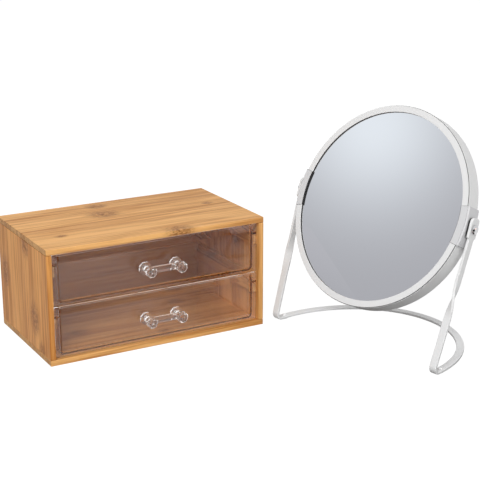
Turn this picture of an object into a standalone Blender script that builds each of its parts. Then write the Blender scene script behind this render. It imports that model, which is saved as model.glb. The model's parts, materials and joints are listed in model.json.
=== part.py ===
# A bamboo box with two clear drawers, and a round two-sided mirror that tilts in its own steel stand.
# Metres, +Z up. The origin is the centre of the box's underside, and -Y is the front of the box.
# The mirror stands by itself, in front of the box and to its right, turned towards the left.

import math

import bmesh
import bpy
from mathutils import Matrix, Quaternion, Vector

# Clearances
fit_gap = 0.0003           # between two pieces that touch
running_gap = 0.0004       # between a shank and its hole
cut_overrun = 0.0020       # how far a cutter runs past what it cuts

# Bamboo box
box_width = 0.2120
box_depth = 0.1230
box_height = 0.1050
board_thickness = 0.0050
back_panel_thickness = 0.0030
board_edge_radius = 0.0008
board_edge_steps = 2

# Drawers: each is one clear moulding
drawer_reveal = 0.0009       # above, between and below the fronts
drawer_side_reveal = 0.0010  # beside the fronts
drawer_recess = 0.0010       # from the box's front edge back to a front's face
front_edge_thickness = 0.0020
front_bevel_depth = 0.0015
front_bevel_width = 0.0065
front_corner_radius = 0.0010
front_corner_steps = 2
tray_wall = 0.0020
tray_floor = 0.0020
tray_seat = 0.0005           # how far behind the bevel the tray's outside starts
tray_lift = 0.0010           # from the front's lower edge up to the tray's underside
tray_side_inset = 0.0035     # from the front's end to the tray's side
tray_top_drop = 0.0022       # from the front's upper edge down to the tray's rim
tray_back_clearance = 0.0005
tray_outer_radius = 0.0045
tray_inner_radius = 0.0030
tray_corner_steps = 3

# Ribs along the trays, and the runners in the box that carry them
rib_top_drop = 0.0085        # from the front's upper edge down to the rib
rib_thickness = 0.0020
rib_root = 0.0010            # how far a rib reaches into the wall it grows from
runner_height = 0.0093
runner_width = 0.0034
runner_setback = 0.0005
runner_edge_radius = 0.0004

# Drawer handles, faceted
handle_spacing = 0.0298
handle_drop = 0.0011         # below the middle of the front
handle_reach = 0.0165
handle_sides = 8
handle_pin_radius = 0.0015
handle_pin_stub = 0.0004     # the end of a pin inside the tray
handle_flange_radius = 0.0060
handle_flange_thickness = 0.0019
handle_neck_radius = 0.0032
handle_neck_taper = 0.0018
handle_knob_radius = 0.0052
handle_knob_length = 0.0043
handle_knob_chamfer = 0.0013
handle_bar_radius = 0.0030
handle_bar_sides = 6
handle_bar_out = 0.0085      # from the front's face to the bar's axis

# Place and lean of the mirror
stand_side_offset = 0.0778   # from the box's right side to the middle between the pivots
stand_front_offset = 0.0774  # from the box's front to the middle between the pivots
stand_yaw = math.radians(75.2)
mirror_tilt = math.radians(23.5)
pivot_height = 0.1221

# Mirror: radii are about the mirror's own axis, half widths are along it
frame_radius = 0.0925
frame_wall = 0.0015
frame_half_width = 0.0051
frame_edge_chamfer = 0.0003
ring_face_width = 0.0053     # of the white face round the glass
ring_thickness = 0.0006
ring_step = 0.0006           # from the frame's outside in to the ring's edge
ring_edge_chamfer = 0.0002
ring_spigot_wall = 0.0013
ring_spigot_depth = 0.0016
glass_overlap = 0.0012       # how far the glass reaches behind the ring
glass_thickness = 0.0018
glass_edge_chamfer = 0.0003
gasket_height = 0.0006
gasket_setback = 0.0002
magnifier_sag = 0.0020
backing_inset = 0.0020
backing_lining = 0.0003
ring_segments = 64
dish_steps = 4

# Pivots, outwards from the frame
clip_half_angle = math.radians(10.5)
clip_steps = 10
clip_thickness = 0.0008
clip_bend_radius = 0.0014
clip_bend_steps = 2
clip_edge_chamfer = 0.0003
liner_thickness = 0.0003
spacer_thickness = 0.0012
spacer_edge_chamfer = 0.0003
spacer_corner_radius = 0.0050
spacer_corner_steps = 5
screw_shank_radius = 0.0018
screw_point_chamfer = 0.0004
screw_head_radius = 0.0043
screw_head_height = 0.0028
screw_head_skirt = 0.0006
screw_dome_steps = 4
screw_segments = 20
nut_width = 0.0070
nut_thickness = 0.0022
nut_segments = 16

# Flat steel strip of the stand
band_width = 0.0070
band_thickness = 0.0024
band_edge_chamfer = 0.0003
tab_width = 0.0110
tab_length = 0.0190
tab_corner_radius = 0.0038
tab_corner_steps = 4
tab_shoulder = 0.0022        # length over which the tab narrows to the strip
tab_shoulder_steps = 3
foot_forward = 0.0420        # from the plane of the pivots forwards to the fold's corner
hoop_inset = 0.0003          # from the frame's outside in to the middle of the strip at the hoop's widest
hoop_depth = 0.1029          # from the middle of the oval that the hoop follows to its back
hoop_lead = 0.0021           # from the end of the fold forwards to the middle of that oval
hoop_steps = 20
fold_radius = 0.0050
fold_steps = 8
twist_top = 0.0790           # height at which the quarter twist begins
twist_bottom = 0.0450        # height at which it ends
twist_steps = 10

# White rubber plugs in the feet
plug_behind_fold = 0.0130
plug_pad_radius = 0.0028
plug_pad_thickness = 0.0003
plug_stem_radius = 0.0012
plug_head_radius = 0.0021
plug_head_height = 0.0012
plug_head_steps = 3
plug_segments = 12

# Sizes of the box and drawers that follow
inner_half_width = box_width / 2 - board_thickness
inner_height = box_height - 2 * board_thickness
front_y = -box_depth / 2
inner_back_y = box_depth / 2 - back_panel_thickness
drawer_front_height = (inner_height - 3 * drawer_reveal) / 2
drawer_front_half_width = inner_half_width - drawer_side_reveal
face_y = front_y + drawer_recess
bevel_back_y = face_y + front_bevel_depth
panel_back_y = bevel_back_y + front_edge_thickness
tray_front_y = bevel_back_y + tray_seat
tray_back_y = inner_back_y - tray_back_clearance
tray_half_width = drawer_front_half_width - tray_side_inset
rib_bottom_height = drawer_front_height - rib_top_drop - rib_thickness
handle_height = drawer_front_height / 2 - handle_drop

# Sizes of the mirror that follow, from the middle plane outwards
ring_seat = frame_half_width + fit_gap
ring_face = ring_seat + ring_thickness
ring_outer_radius = frame_radius - ring_step
ring_inner_radius = ring_outer_radius - ring_face_width
frame_inner_radius = frame_radius - frame_wall
spigot_outer_radius = frame_inner_radius - fit_gap
spigot_inner_radius = spigot_outer_radius - ring_spigot_wall
glass_front = ring_seat - gasket_height - 2 * fit_gap
glass_back = glass_front - glass_thickness
glass_radius = ring_inner_radius + glass_overlap
liner_leaf_low = ring_face + fit_gap
liner_leaf_high = liner_leaf_low + liner_thickness
clip_leaf_low = liner_leaf_high + fit_gap
clip_leaf_high = clip_leaf_low + clip_thickness

# Radii of the pivot stack that follow, from the frame outwards
liner_inner_radius = frame_radius + fit_gap
liner_outer_radius = liner_inner_radius + liner_thickness
clip_inner_radius = liner_outer_radius + fit_gap
clip_outer_radius = clip_inner_radius + clip_thickness
lip_outer_radius = ring_inner_radius - fit_gap
lip_inner_radius = lip_outer_radius - liner_thickness
spacer_middle = clip_outer_radius + fit_gap + spacer_thickness / 2
tab_middle = spacer_middle + spacer_thickness / 2 + fit_gap + band_thickness / 2
head_seat = tab_middle + band_thickness / 2 + fit_gap
pivot_hole_radius = screw_shank_radius + running_gap
nut_outer = frame_inner_radius * math.cos(math.pi / ring_segments) - fit_gap
screw_point = glass_radius + fit_gap

# Places of the stand that follow
stand_x = box_width / 2 + stand_side_offset
stand_y = front_y - stand_front_offset
hoop_half_width = frame_radius - hoop_inset
fold_reach = fold_radius * math.tan(math.pi / 4 + math.atan2(foot_forward, pivot_height) / 2)
hoop_centre_y = fold_reach - foot_forward - hoop_lead
hoop_back_y = hoop_centre_y + hoop_depth
hoop_start = math.asin(hoop_lead / hoop_depth)
foot_x = hoop_half_width * math.cos(hoop_start)
plug_y = plug_behind_fold - foot_forward
plug_x = hoop_half_width * math.sqrt(1 - ((plug_y - hoop_centre_y) / hoop_depth) ** 2)
plug_seat = plug_pad_thickness + fit_gap
base_slope = plug_seat / (hoop_back_y - plug_y)
foot_height = band_thickness / 2 + base_slope * (hoop_back_y + foot_forward)
arm_lean = math.atan2(foot_forward, pivot_height - foot_height)


def clear_scene():
    for item in list(bpy.data.objects):
        bpy.data.objects.remove(item, do_unlink=True)


def make_material(name, colour, roughness, metallic=0.0, clear=0.0):
    material = bpy.data.materials.new(name)
    material.use_nodes = True
    shader = material.node_tree.nodes["Principled BSDF"]
    shader.inputs["Base Color"].default_value = (*colour, 1.0)
    shader.inputs["Roughness"].default_value = roughness
    shader.inputs["Metallic"].default_value = metallic
    shader.inputs["Transmission Weight"].default_value = clear
    material.diffuse_color = (*colour, 1.0)
    return material


def make_object(name, mesh, material, parent=None, location=(0, 0, 0), rotation=(0, 0, 0), smooth_angle=None):
    """One sub-part. Angles under smooth_angle are shaded round."""
    mesh.materials.clear()
    mesh.materials.append(material)
    if smooth_angle is not None:
        mesh.shade_smooth()
        mesh.set_sharp_from_angle(angle=smooth_angle)
    item = bpy.data.objects.new(name, mesh)
    bpy.context.scene.collection.objects.link(item)
    item.parent = parent
    item.location = location
    item.rotation_euler = rotation
    return item


def make_empty(name, location, rotation=(0, 0, 0), parent=None):
    empty = bpy.data.objects.new(name, None)
    bpy.context.scene.collection.objects.link(empty)
    empty.empty_display_size = box_height / 5
    empty.parent = parent
    empty.location = location
    empty.rotation_euler = rotation
    return empty


def to_mesh(bm, name):
    bmesh.ops.recalc_face_normals(bm, faces=bm.faces)
    mesh = bpy.data.meshes.new(name)
    bm.to_mesh(mesh)
    bm.free()
    return mesh


def loft(rings, last_cap=True, closed=False):
    """Skins rings of equally many points. A ring of one point is a pole; closed joins the last ring to the first."""
    bm = bmesh.new()
    rows = [[bm.verts.new(point) for point in ring] for ring in rings]
    pairs = list(zip(rows, rows[1:]))
    if closed:
        pairs.append((rows[-1], rows[0]))
    for low, high in pairs:
        count = max(len(low), len(high))
        for i in range(count):
            j = (i + 1) % count
            if len(low) == 1:
                bm.faces.new((low[0], high[j], high[i]))
            elif len(high) == 1:
                bm.faces.new((low[i], low[j], high[0]))
            else:
                bm.faces.new((low[i], low[j], high[j], high[i]))
    if not closed and len(rows[0]) > 1:
        bm.faces.new(rows[0])
    if not closed and last_cap and len(rows[-1]) > 1:
        bm.faces.new(rows[-1])
    return bm


def circle(radius, height, count, turn=0.0):
    """Points round the Z axis, or the one point on it."""
    if radius == 0:
        return [Vector((0, 0, height))]
    angles = [turn + 2 * math.pi * i / count for i in range(count)]
    return [Vector((radius * math.cos(a), radius * math.sin(a), height)) for a in angles]


def turned(profile, count, name, hollow=False):
    """Turns (radius, height) points round Z: from pole to pole, or a closed section if hollow.

    A facet, not an edge, faces +X, so that flat pieces can lie against it.
    """
    rings = [circle(radius, height, count, math.pi / count) for radius, height in profile]
    return to_mesh(loft(rings, closed=hollow), name)


def arc(centre, radius, start, end, steps):
    """Points of an arc between two angles in degrees, in the plane of a section."""
    angles = [math.radians(start + (end - start) * i / steps) for i in range(steps + 1)]
    return [(centre[0] + radius * math.cos(a), centre[1] + radius * math.sin(a)) for a in angles]


def rounded_rectangle(half_width, half_height, radius, steps):
    corners = ((1, 1), (-1, 1), (-1, -1), (1, -1))
    points = []
    for quarter, (side, level) in enumerate(corners):
        centre = (side * (half_width - radius), level * (half_height - radius))
        points += arc(centre, radius, 90 * quarter, 90 * quarter + 90, steps)
    return points


def block(low, high):
    bm = bmesh.new()
    middle = (Vector(low) + Vector(high)) / 2
    size = Vector(high) - Vector(low)
    bmesh.ops.create_cube(bm, size=1.0, matrix=Matrix.Translation(middle) @ Matrix.Diagonal((*size, 1)))
    return bm


def between(first, second):
    """The two values in rising order."""
    return (first, second) if first < second else (second, first)


def rod(radius, start, end, count, name):
    """A straight rod between two points."""
    way = Vector(end) - Vector(start)
    mesh = to_mesh(loft([circle(radius, 0, count), circle(radius, way.length, count)]), name)
    mesh.transform(Matrix.Translation(start) @ way.to_track_quat("Z", "Y").to_matrix().to_4x4())
    return mesh


def combined(base, tools, name):
    """The mesh that Boolean modifiers make from base and a list of (mesh, operation)."""
    main = bpy.data.objects.new(name, base)
    bpy.context.scene.collection.objects.link(main)
    used = [main]
    for mesh, operation in tools:
        tool = bpy.data.objects.new(name + "_tool", mesh)
        tool.hide_render = True
        tool.display_type = "WIRE"
        bpy.context.scene.collection.objects.link(tool)
        used.append(tool)
        modifier = main.modifiers.new(operation.lower(), "BOOLEAN")
        modifier.operation = operation
        modifier.solver = "EXACT"
        modifier.object = tool
    graph = bpy.context.evaluated_depsgraph_get()
    result = bpy.data.meshes.new_from_object(main.evaluated_get(graph), depsgraph=graph)
    for item in used:
        bpy.data.objects.remove(item, do_unlink=True)
    result.name = name
    return result


def on_outside_edge(first, second):
    """True for an edge that lies where two of the whole box's outer faces meet."""
    limits = ((0, -box_width / 2), (0, box_width / 2), (1, front_y), (1, -front_y), (2, 0), (2, box_height))
    near = [abs(first[i] - value) < fit_gap / 2 and abs(second[i] - value) < fit_gap / 2 for i, value in limits]
    return sum(near) >= 2


def make_board(name, low, high, material):
    """A board, rounded where it forms an edge of the whole box."""
    bm = block(low, high)
    edges = [edge for edge in bm.edges if on_outside_edge(edge.verts[0].co, edge.verts[1].co)]
    bmesh.ops.bevel(bm, geom=edges, offset=board_edge_radius, segments=board_edge_steps, profile=0.5,
                    affect="EDGES")
    return make_object(name, to_mesh(bm, name), material)


def make_box(bamboo):
    """Top and bottom lie over the sides, and the back panel sits between all four boards."""
    half_width = box_width / 2
    side_low = board_thickness + fit_gap
    side_high = box_height - board_thickness - fit_gap
    make_board("bottom_board", (-half_width, front_y, 0), (half_width, -front_y, board_thickness), bamboo)
    make_board("top_board", (-half_width, front_y, box_height - board_thickness),
               (half_width, -front_y, box_height), bamboo)
    for side_name, side in (("left", -1), ("right", 1)):
        inner, outer = between(side * inner_half_width, side * half_width)
        make_board(f"{side_name}_side_board", (inner, front_y, side_low), (outer, -front_y, side_high), bamboo)
    panel_half = inner_half_width - fit_gap
    make_board("back_panel", (-panel_half, inner_back_y, side_low), (panel_half, -front_y, side_high), bamboo)


def drawer_bottom(level):
    """Height of a drawer front's lower edge; level 0 is the lower drawer."""
    return board_thickness + drawer_reveal + level * (drawer_front_height + drawer_reveal)


def make_runners(bamboo):
    """Strips glued inside the sides, one under each rib, with their long edges eased."""
    for level, row in enumerate(("lower", "upper")):
        top = drawer_bottom(level) + rib_bottom_height - fit_gap
        for side_name, side in (("left", -1), ("right", 1)):
            outer = side * (inner_half_width - fit_gap)
            low_x, high_x = between(outer, outer - side * runner_width)
            bm = block((low_x, panel_back_y + runner_setback, top - runner_height),
                       (high_x, inner_back_y - fit_gap, top))
            long_edges = [edge for edge in bm.edges if edge.calc_length() > box_depth / 2]
            bmesh.ops.bevel(bm, geom=long_edges, offset=runner_edge_radius, segments=1, affect="EDGES")
            name = f"{row}_{side_name}_runner"
            make_object(name, to_mesh(bm, name), bamboo)


def tray_shell_mesh():
    """The open tray: rounded rectangles up the outside, over the rim and down the inside."""
    middle_y = (tray_front_y + tray_back_y) / 2
    half_depth = (tray_back_y - tray_front_y) / 2
    rim = drawer_front_height - tray_top_drop
    floor_top = tray_lift + tray_floor
    rim_radius = tray_outer_radius - tray_wall
    quarter = [i / tray_corner_steps for i in range(tray_corner_steps + 1)]
    levels = []
    for share in quarter:
        angle = math.pi / 2 * share
        inset = tray_outer_radius * (1 - math.sin(angle))
        height = tray_lift + tray_outer_radius * (1 - math.cos(angle))
        levels.append((inset, height, tray_outer_radius - inset))
    levels.append((0, rim, tray_outer_radius))
    levels.append((tray_wall, rim, rim_radius))
    for share in reversed(quarter):
        angle = math.pi / 2 * share
        inset = tray_inner_radius * (1 - math.sin(angle))
        height = floor_top + tray_inner_radius * (1 - math.cos(angle))
        levels.append((tray_wall + inset, height, rim_radius - inset))
    rings = []
    for inset, height, radius in levels:
        outline = rounded_rectangle(tray_half_width - inset, half_depth - inset, max(radius, fit_gap),
                                    tray_corner_steps)
        rings.append([Vector((x, y + middle_y, height)) for x, y in outline])
    return to_mesh(loft(rings), "tray_shell")


def tray_front_mesh():
    """The drawer's front: a slab whose face is bevelled back all round."""
    half_height = drawer_front_height / 2
    rings = []
    for inset, y in ((0, panel_back_y), (0, bevel_back_y), (front_bevel_width, face_y)):
        outline = rounded_rectangle(drawer_front_half_width - inset, half_height - inset, front_corner_radius,
                                    front_corner_steps)
        rings.append([Vector((x, y, z + half_height)) for x, z in outline])
    return to_mesh(loft(rings), "tray_front")


def tray_mesh():
    """The whole moulding, with its origin under the lower edge of the front."""
    tools = [(tray_front_mesh(), "UNION")]
    for side in (-1, 1):
        low_x, high_x = between(side * (tray_half_width - rib_root), side * drawer_front_half_width)
        rib = block((low_x, panel_back_y - rib_root, rib_bottom_height),
                    (high_x, tray_back_y - tray_outer_radius, rib_bottom_height + rib_thickness))
        tools.append((to_mesh(rib, "tray_rib"), "UNION"))
    for side in (-1, 1):
        x = side * handle_spacing / 2
        start = (x, face_y - cut_overrun, handle_height)
        end = (x, tray_front_y + tray_wall + cut_overrun, handle_height)
        tools.append((rod(handle_pin_radius + fit_gap, start, end, handle_sides, "pin_hole"), "DIFFERENCE"))
    return combined(tray_shell_mesh(), tools, "drawer_tray")


def handle_mesh():
    """Two turned posts with a bar between them. The origin is on the front's face, and -Y is outwards."""
    pin_end = face_y - tray_front_y - tray_wall - handle_pin_stub
    flange_end = fit_gap + handle_flange_thickness
    knob_start = handle_reach - handle_knob_length
    profile = [
        (handle_pin_radius, pin_end),
        (handle_pin_radius, fit_gap),
        (handle_flange_radius, fit_gap),
        (handle_flange_radius, flange_end),
        (handle_neck_radius, flange_end + handle_neck_taper),
        (handle_neck_radius, knob_start - handle_neck_taper),
        (handle_knob_radius, knob_start),
        (handle_knob_radius, handle_reach - handle_knob_chamfer),
        (handle_knob_radius - handle_knob_chamfer, handle_reach),
    ]
    tools = []
    for side in (-1, 1):
        post = turned(profile, handle_sides, "handle_post")
        post.transform(Matrix.Translation((side * handle_spacing / 2, 0, 0)) @ Matrix.Rotation(math.pi / 2, 4, "X"))
        tools.append((post, "UNION"))
    start = (-handle_spacing / 2, -handle_bar_out, 0)
    end = (handle_spacing / 2, -handle_bar_out, 0)
    bar = rod(handle_bar_radius, start, end, handle_bar_sides, "handle_bar")
    return combined(bar, tools, "drawer_handle")


def make_drawers(clear):
    """Both drawers are alike. Each slides along -Y."""
    tray = tray_mesh()
    handle = handle_mesh()
    for level, row in enumerate(("lower", "upper")):
        place = make_empty(f"{row}_drawer", (0, 0, drawer_bottom(level)))
        make_object(f"{row}_drawer_tray", tray, clear, place, smooth_angle=math.radians(40))
        make_object(f"{row}_drawer_handle", handle, clear, place, (0, face_y, handle_height))


def smooth_step(value):
    share = min(max(value, 0), 1)
    return share * share * (3 - 2 * share)


def strip_section(middle, along, broad_way, width):
    """The strip's section at a point of its middle line: a rectangle with cut corners, broad along broad_way."""
    thin_way = broad_way.cross(along).normalized()
    half_width = width / 2
    half_thickness = band_thickness / 2
    points = []
    for side, level, first in ((1, 1, 1), (-1, 1, 0), (-1, -1, 1), (1, -1, 0)):
        on_edge = (side * half_width, level * (half_thickness - band_edge_chamfer))
        on_face = (side * (half_width - band_edge_chamfer), level * half_thickness)
        points += [on_edge, on_face] if first else [on_face, on_edge]
    return [middle + broad_way * x + thin_way * y for x, y in points]


def tab_sections(start, along):
    """The pivot tab: a rounded end, a straight part and the shoulders where it narrows."""
    sideways = Vector((1, 0, 0))
    forwards = along.cross(sideways).normalized()
    steps = []
    for i in range(tab_corner_steps + 1):
        angle = math.pi / 2 * i / tab_corner_steps
        steps.append((tab_corner_radius * (1 - math.cos(angle)),
                      tab_width - 2 * tab_corner_radius * (1 - math.sin(angle))))
    for i in range(tab_shoulder_steps + 1):
        share = i / tab_shoulder_steps
        steps.append((tab_length - tab_shoulder * (1 - share),
                      tab_width + (band_width - tab_width) * smooth_step(share)))
    return [strip_section(start + along * distance, along, forwards, width) for distance, width in steps]


def arm_sections(start, end, along):
    """The straight arm with its quarter twist: broad fore and aft above it, broad sideways below it."""
    sideways = (Vector((1, 0, 0)) - along * along.x).normalized()
    forwards = along.cross(sideways)
    heights = [twist_top + (twist_bottom - twist_top) * i / twist_steps for i in range(twist_steps + 1)]
    sections = []
    for height in heights + [end.z]:
        turn = math.pi / 2 * smooth_step((height - twist_bottom) / (twist_top - twist_bottom))
        middle = start + (end - start) * (start.z - height) / (start.z - end.z)
        broad_way = sideways * math.cos(turn) + forwards * math.sin(turn)
        sections.append(strip_section(middle, along, broad_way, band_width))
    return sections


def fold_sections(start, along, back):
    """The bend at the foot, from the arm to the base."""
    turn = along.angle(back)
    axis = along.cross(back).normalized()
    centre = start + axis.cross(along) * fold_radius
    sections = []
    for i in range(1, fold_steps + 1):
        part = Quaternion(axis, turn * i / fold_steps)
        way = part @ along
        sideways = (Vector((1, 0, 0)) - way * way.x).normalized()
        sections.append(strip_section(centre + part @ (start - centre), way, sideways, band_width))
    return sections


def hoop_sections():
    """The oval base from the fold to its back: flat on the table there, and up on the plug at the front."""
    sections = []
    for i in range(1, hoop_steps + 1):
        angle = hoop_start + (math.pi / 2 - hoop_start) * i / hoop_steps
        across, back = math.cos(angle), math.sin(angle)
        middle = Vector((hoop_half_width * across, hoop_centre_y + hoop_depth * back, 0))
        middle.z = band_thickness / 2 + base_slope * (hoop_back_y - middle.y)
        outwards = Vector((hoop_depth * across, hoop_half_width * back, 0)).normalized()
        along = Vector((-outwards.y, outwards.x, 0))
        sections.append(strip_section(middle, along, outwards, band_width))
    return sections


def stand_band_mesh():
    """One strip, made as its right half and mirrored, with holes for the pivots and the foot plugs."""
    tab_way = Vector((0, -math.sin(arm_lean), -math.cos(arm_lean)))
    tab_start = Vector((tab_middle, 0, pivot_height)) - tab_way * (tab_length / 2)
    tab_end = tab_start + tab_way * tab_length
    corner = Vector((foot_x, -foot_forward, foot_height))
    arm_way = (corner - tab_end).normalized()
    back_way = Vector((0, 1, -base_slope)).normalized()
    arm_end = corner - arm_way * fold_radius * math.tan(arm_way.angle(back_way) / 2)
    sections = tab_sections(tab_start, tab_way)
    sections += arm_sections(tab_end, arm_end, arm_way)
    sections += fold_sections(arm_end, arm_way, back_way)
    sections += hoop_sections()
    bm = loft(sections, last_cap=False)
    everything = bm.verts[:] + bm.edges[:] + bm.faces[:]
    bmesh.ops.mirror(bm, geom=everything, matrix=Matrix.Identity(4), merge_dist=fit_gap / 100, axis="X")
    strip = to_mesh(bm, "stand_strip")
    reach = tab_middle + band_thickness + cut_overrun
    pivot_hole = rod(pivot_hole_radius, (-reach, 0, pivot_height), (reach, 0, pivot_height), screw_segments,
                     "pivot_hole")
    tools = [(pivot_hole, "DIFFERENCE")]
    for side in (-1, 1):
        start = (side * plug_x, plug_y, -cut_overrun)
        end = (side * plug_x, plug_y, plug_seat + band_thickness + cut_overrun)
        tools.append((rod(plug_stem_radius + fit_gap, start, end, plug_segments, "plug_hole"), "DIFFERENCE"))
    return combined(strip, tools, "stand_band")


def plug_mesh():
    """A push-in foot: pad below the strip, stem through it, domed head above it."""
    head_low = plug_seat + band_thickness + fit_gap
    dome = [(plug_head_radius * math.cos(a), head_low + plug_head_height * math.sin(a))
            for a in (math.pi / 2 * i / plug_head_steps for i in range(plug_head_steps))]
    profile = [(0, 0), (plug_pad_radius, 0), (plug_pad_radius, plug_pad_thickness),
               (plug_stem_radius, plug_pad_thickness), (plug_stem_radius, head_low)]
    return turned(profile + dome + [(0, head_low + plug_head_height)], plug_segments, "foot_plug")


def spacer_mesh():
    """An oval washer, its long axis along Z and its hole along X."""
    half_thickness = spacer_thickness / 2
    count = 4 * (spacer_corner_steps + 1)
    rings = []
    for inset, x in ((0, spacer_edge_chamfer - half_thickness), (spacer_edge_chamfer, -half_thickness)):
        outline = rounded_rectangle(tab_width / 2 - inset, tab_length / 2 - inset, spacer_corner_radius - inset,
                                    spacer_corner_steps)
        rings.append([Vector((x, y, z)) for y, z in outline])
    hole = [Vector((-half_thickness, point.x, point.y))
            for point in circle(pivot_hole_radius, 0, count, math.pi / 4 / (spacer_corner_steps + 1))]
    rings.append(hole)
    rings += [[Vector((-x, y, z)) for x, y, z in ring] for ring in reversed(rings)]
    return to_mesh(loft(rings, closed=True), "pivot_spacer")


def make_stand(place, steel, white_rubber, black_rubber):
    make_object("stand_band", stand_band_mesh(), steel, place, smooth_angle=math.radians(25))
    plug = plug_mesh()
    spacer = spacer_mesh()
    for side_name, side in (("left", -1), ("right", 1)):
        make_object(f"{side_name}_foot_plug", plug, white_rubber, place, (side * plug_x, plug_y, 0),
                    smooth_angle=math.radians(50))
        make_object(f"{side_name}_pivot_spacer", spacer, black_rubber, place,
                    (side * spacer_middle, 0, pivot_height), (-arm_lean, 0, 0), math.radians(40))


def frame_band_mesh():
    """The hoop round both glasses, with a hole at each pivot."""
    edge = frame_half_width - frame_edge_chamfer
    flat = frame_radius - frame_edge_chamfer
    section = [(frame_inner_radius, -frame_half_width), (flat, -frame_half_width), (frame_radius, -edge),
               (frame_radius, edge), (flat, frame_half_width), (frame_inner_radius, frame_half_width)]
    hoop = turned(section, ring_segments, "frame_hoop", hollow=True)
    reach = frame_radius + cut_overrun
    holes = rod(pivot_hole_radius, (-reach, 0, 0), (reach, 0, 0), screw_segments, "screw_holes")
    return combined(hoop, [(holes, "DIFFERENCE")], "mirror_frame_band")


def ring_mesh():
    """The ring that holds a glass: a flat face, and a spigot that plugs into the frame."""
    edge = ring_face - ring_edge_chamfer
    spigot_end = ring_seat - ring_spigot_depth
    section = [(ring_inner_radius, ring_seat), (ring_inner_radius, edge),
               (ring_inner_radius + ring_edge_chamfer, ring_face),
               (ring_outer_radius - ring_edge_chamfer, ring_face), (ring_outer_radius, edge),
               (ring_outer_radius, ring_seat), (spigot_outer_radius, ring_seat), (spigot_outer_radius, spigot_end),
               (spigot_inner_radius, spigot_end), (spigot_inner_radius, ring_seat)]
    return turned(section, ring_segments, "glass_ring", hollow=True)


def gasket_mesh():
    inner = ring_inner_radius + gasket_setback
    low = glass_front + fit_gap
    high = low + gasket_height
    section = [(inner, low), (inner, high), (glass_radius, high), (glass_radius, low)]
    return turned(section, ring_segments, "glass_gasket", hollow=True)


def dish(height, radius):
    """Points of a shallow bowl from its centre out to the radius, measured from the rim's height."""
    shares = [i / dish_steps for i in range(dish_steps + 1)]
    edge = (radius / glass_radius) ** 2
    return [(radius * share, height - magnifier_sag * (1 - edge * share ** 2)) for share in shares]


def flat_glass_mesh():
    rim = glass_radius - glass_edge_chamfer
    profile = [(0, glass_back), (rim, glass_back), (glass_radius, glass_back + glass_edge_chamfer),
               (glass_radius, glass_front - glass_edge_chamfer), (rim, glass_front), (0, glass_front)]
    return turned(profile, ring_segments, "flat_glass")


def magnifying_glass_mesh():
    """A glass of even thickness, dished so that its outer side is hollow. The outer side faces +Z here."""
    rim = glass_radius - glass_edge_chamfer
    sides = [(glass_radius, glass_back + glass_edge_chamfer), (glass_radius, glass_front - glass_edge_chamfer)]
    profile = dish(glass_back, rim) + sides + list(reversed(dish(glass_front, rim)))
    return turned(profile, ring_segments, "dished_glass")


def backing_mesh():
    """The filler between the glasses, flat towards the front glass and domed towards the dished one."""
    radius = glass_radius - backing_inset
    dome = [(r, -height) for r, height in dish(glass_back - backing_lining, radius)]
    return turned([(0, glass_back - backing_lining), (radius, glass_back - backing_lining)]
                  + list(reversed(dome)), ring_segments, "backing")


def swept_section(half_section, name):
    """Sweeps a section along the frame's arc at +X; the section is given for one side of the middle plane."""
    section = half_section + [(radius, -height) for radius, height in reversed(half_section)]
    rings = []
    for i in range(clip_steps + 1):
        angle = clip_half_angle * (2 * i / clip_steps - 1)
        rings.append([Vector((r * math.cos(angle), r * math.sin(angle), z)) for r, z in section])
    hole = rod(pivot_hole_radius, (frame_radius, 0, 0), (clip_outer_radius + cut_overrun, 0, 0), screw_segments,
               "clip_hole")
    return combined(to_mesh(loft(rings), name), [(hole, "DIFFERENCE")], name)


def clip_mesh():
    """The saddle: a bent U over the frame and both rings."""
    bend_centre = (clip_outer_radius - clip_bend_radius, clip_leaf_high - clip_bend_radius)
    half = arc(bend_centre, clip_bend_radius, 0, 90, clip_bend_steps)
    half += [(ring_inner_radius + clip_edge_chamfer, clip_leaf_high),
             (ring_inner_radius, clip_leaf_high - clip_edge_chamfer),
             (ring_inner_radius, clip_leaf_low), (clip_inner_radius, clip_leaf_low)]
    return swept_section(half, "pivot_clip")


def liner_mesh():
    """The sheet between saddle and frame, with a lip turned in past each ring to the glass."""
    lip_end = glass_front + fit_gap
    half = [(liner_outer_radius, liner_leaf_high), (lip_inner_radius, liner_leaf_high),
            (lip_inner_radius, lip_end), (lip_outer_radius, lip_end), (lip_outer_radius, liner_leaf_low),
            (liner_inner_radius, liner_leaf_low)]
    return swept_section(half, "clip_liner")


def screw_mesh():
    """A round-headed screw with its point towards the glass, lying along +X."""
    dome_height = screw_head_height - screw_head_skirt
    dome = [(screw_head_radius * math.cos(a), head_seat + screw_head_skirt + dome_height * math.sin(a))
            for a in (math.pi / 2 * i / screw_dome_steps for i in range(screw_dome_steps))]
    profile = [(0, screw_point), (screw_shank_radius - screw_point_chamfer, screw_point),
               (screw_shank_radius, screw_point + screw_point_chamfer), (screw_shank_radius, head_seat),
               (screw_head_radius, head_seat)]
    mesh = turned(profile + dome + [(0, head_seat + screw_head_height)], screw_segments, "pivot_screw")
    mesh.transform(Matrix.Rotation(math.pi / 2, 4, "Y"))
    return mesh


def nut_mesh():
    """A square nut inside the frame, its hole along X."""
    half = nut_width / 2
    hole = circle(pivot_hole_radius, 0, nut_segments)
    square = [point * (half / max(abs(point.x), abs(point.y))) for point in hole]
    inner = nut_outer - nut_thickness
    rings = [[Vector((x, point.x, point.y)) for point in outline]
             for x, outline in ((inner, hole), (inner, square), (nut_outer, square), (nut_outer, hole))]
    return to_mesh(loft(rings, closed=True), "pivot_nut")


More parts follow.
